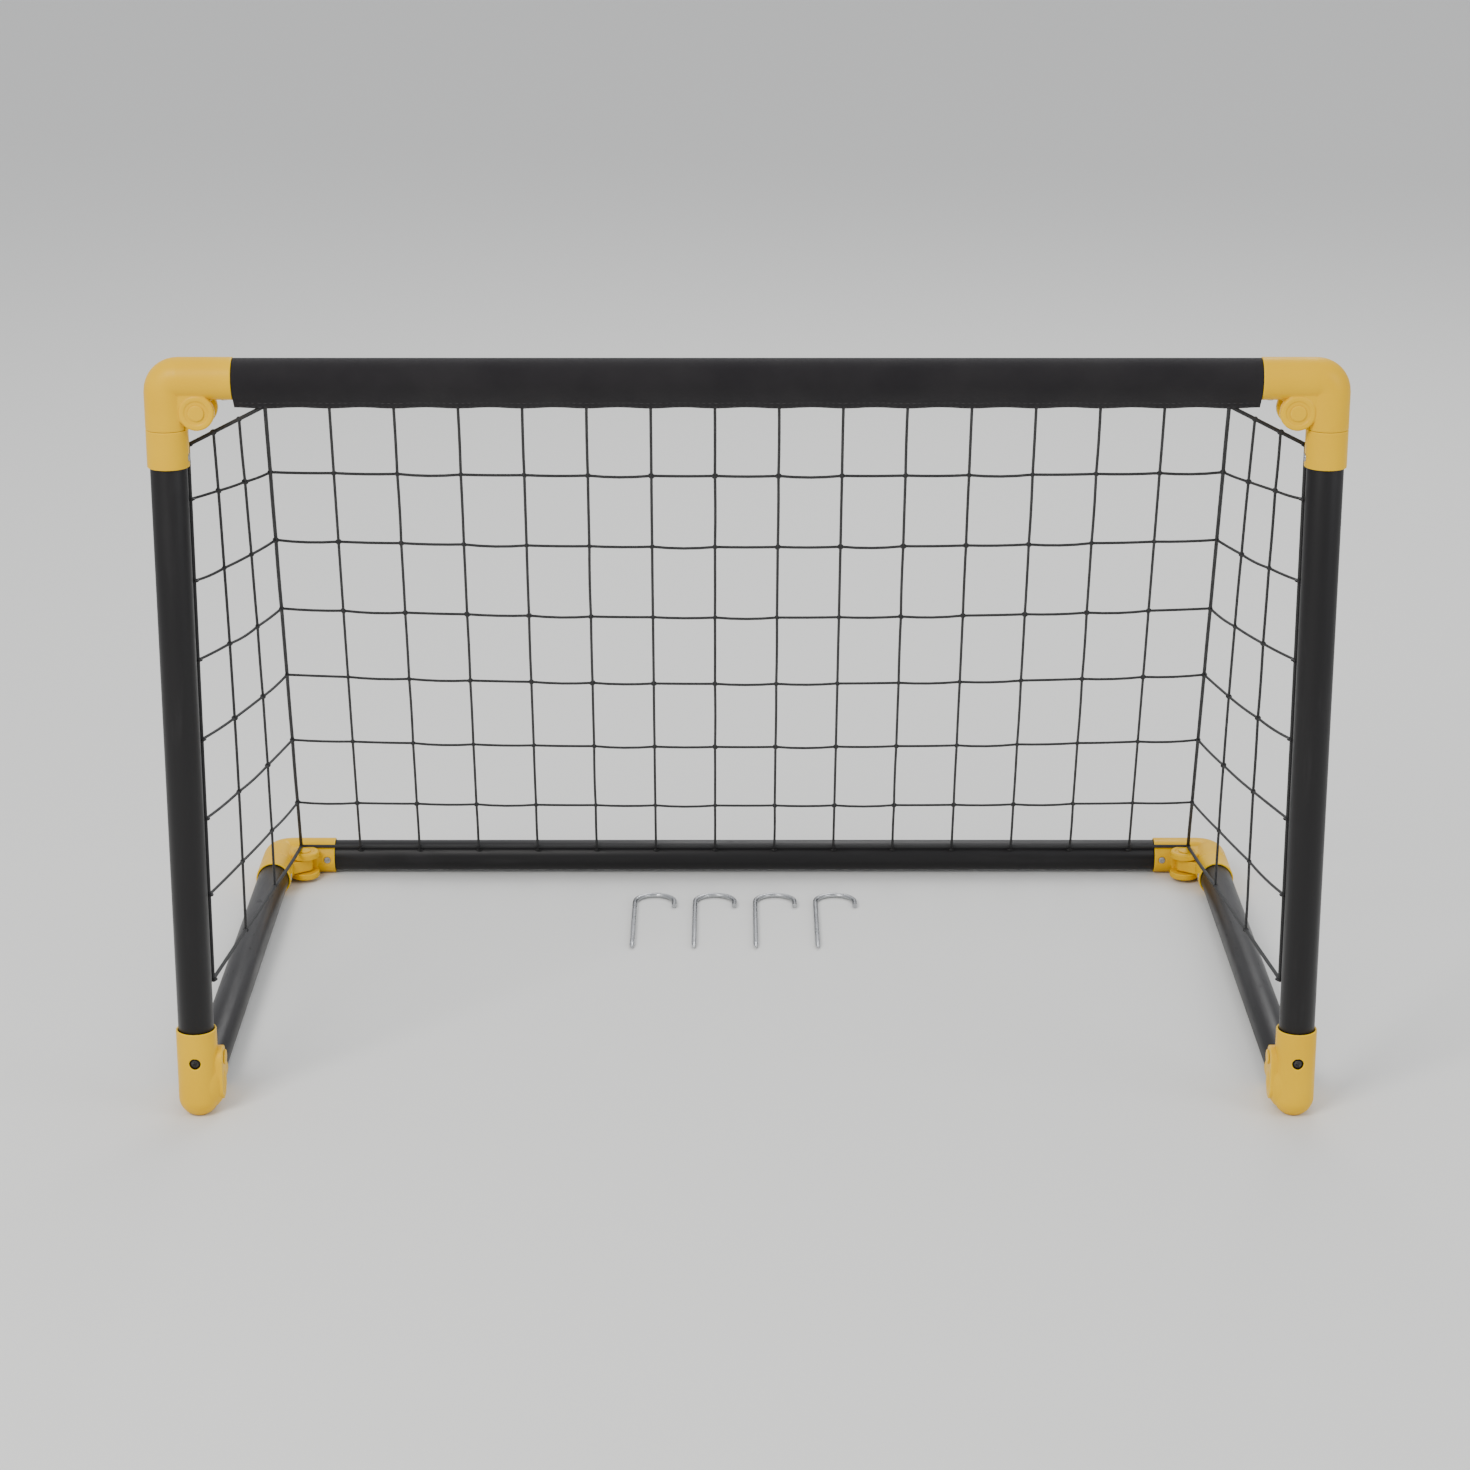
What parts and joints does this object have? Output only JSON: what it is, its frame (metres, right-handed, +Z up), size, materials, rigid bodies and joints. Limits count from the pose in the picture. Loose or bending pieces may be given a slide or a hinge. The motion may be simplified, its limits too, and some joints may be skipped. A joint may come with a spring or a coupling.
{
  "type": "folding garden goal",
  "caption": "Small folding garden goal: black tube frame, golden yellow hinged corners and feet, black net sloping to a back bar, hooked steel ground pegs.",
  "frame": {"origin": "on the ground, in the middle of the goal's width and depth", "axes": "+X to the right along the crossbar, +Y from the mouth to the back bar, +Z up; the mouth faces -Y"},
  "size_m": [0.9, 0.59, 0.61],
  "materials": {
    "black_tube": "smooth satin black plastic tube",
    "yellow_plastic": "golden yellow injection moulded plastic, satin",
    "sleeve_fabric": "woven black polyester",
    "net_cord": "black twisted polyethylene cord",
    "zinc_steel": "zinc plated steel",
    "peg_steel": "bright drawn steel wire"
  },
  "bodies": {
    "crossbar": {"crossbar_tube": "black_tube", "crossbar_sleeve": "sleeve_fabric", "top_left_crossbar_fitting": "yellow_plastic", "top_right_crossbar_fitting": "yellow_plastic", "top_left_pin": "yellow_plastic", "top_right_pin": "yellow_plastic", "left_crossbar_screw": "zinc_steel", "right_crossbar_screw": "zinc_steel", "back_net": "net_cord"},
    "left_post": {"left_post_tube": "black_tube", "top_left_post_fitting": "yellow_plastic", "left_foot": "yellow_plastic", "left_foot_pin": "yellow_plastic", "left_post_screw": "zinc_steel", "left_foot_screw": "zinc_steel", "left_side_net": "net_cord"},
    "left_side_bar": {"left_side_tube": "black_tube", "left_foot_side_fitting": "yellow_plastic", "rear_left_side_fitting": "yellow_plastic", "left_side_front_screw": "zinc_steel", "left_side_rear_screw": "zinc_steel"},
    "right_post": {"right_post_tube": "black_tube", "top_right_post_fitting": "yellow_plastic", "right_foot": "yellow_plastic", "right_foot_pin": "yellow_plastic", "right_post_screw": "zinc_steel", "right_foot_screw": "zinc_steel", "right_side_net": "net_cord"},
    "right_side_bar": {"right_side_tube": "black_tube", "right_foot_side_fitting": "yellow_plastic", "rear_right_side_fitting": "yellow_plastic", "right_side_front_screw": "zinc_steel", "right_side_rear_screw": "zinc_steel"},
    "back_bar": {"back_tube": "black_tube", "rear_left_back_fitting": "yellow_plastic", "rear_right_back_fitting": "yellow_plastic", "rear_left_pin_a": "yellow_plastic", "rear_left_pin_b": "yellow_plastic", "rear_right_pin_a": "yellow_plastic", "rear_right_pin_b": "yellow_plastic", "left_back_screw": "zinc_steel", "right_back_screw": "zinc_steel"},
    "pegs": {"ground_peg_1": "peg_steel", "ground_peg_2": "peg_steel", "ground_peg_3": "peg_steel", "ground_peg_4": "peg_steel"}
  },
  "joints": [
    {"name": "base_fold", "type": "hinge", "parent": "crossbar", "child": "back_bar", "pos_m": [0, -0.271, 0.044], "axis": [1, 0, 0], "range_deg": [0, 90], "deforming": ["back_net"]},
    {"name": "left_fold", "type": "hinge", "parent": "crossbar", "child": "left_post", "pos_m": [-0.41, -0.279, 0.57], "axis": [0, -1, 0], "range_deg": [0, 90], "deforming": ["left_side_net"]},
    {"name": "right_fold", "type": "hinge", "parent": "crossbar", "child": "right_post", "pos_m": [0.41, -0.279, 0.57], "axis": [0, 1, 0], "range_deg": [0, 82], "deforming": ["right_side_net"]},
    {"name": "left_foot_hinge", "type": "hinge", "parent": "left_post", "child": "left_side_bar", "pos_m": [-0.434, -0.271, 0.044], "axis": [1, 0, 0], "range_deg": [0, 90]},
    {"name": "right_foot_hinge", "type": "hinge", "parent": "right_post", "child": "right_side_bar", "pos_m": [0.434, -0.271, 0.044], "axis": [1, 0, 0], "range_deg": [0, 90]},
    {"name": "pegs_lift", "type": "slide", "parent": "crossbar", "child": "pegs", "axis": [0, 0, 1], "range_m": [0, 0.03]}
  ],
  "couplings": [
    {"joint": "left_foot_hinge", "follows": "base_fold", "ratio": 1},
    {"joint": "right_foot_hinge", "follows": "base_fold", "ratio": 1}
  ]
}
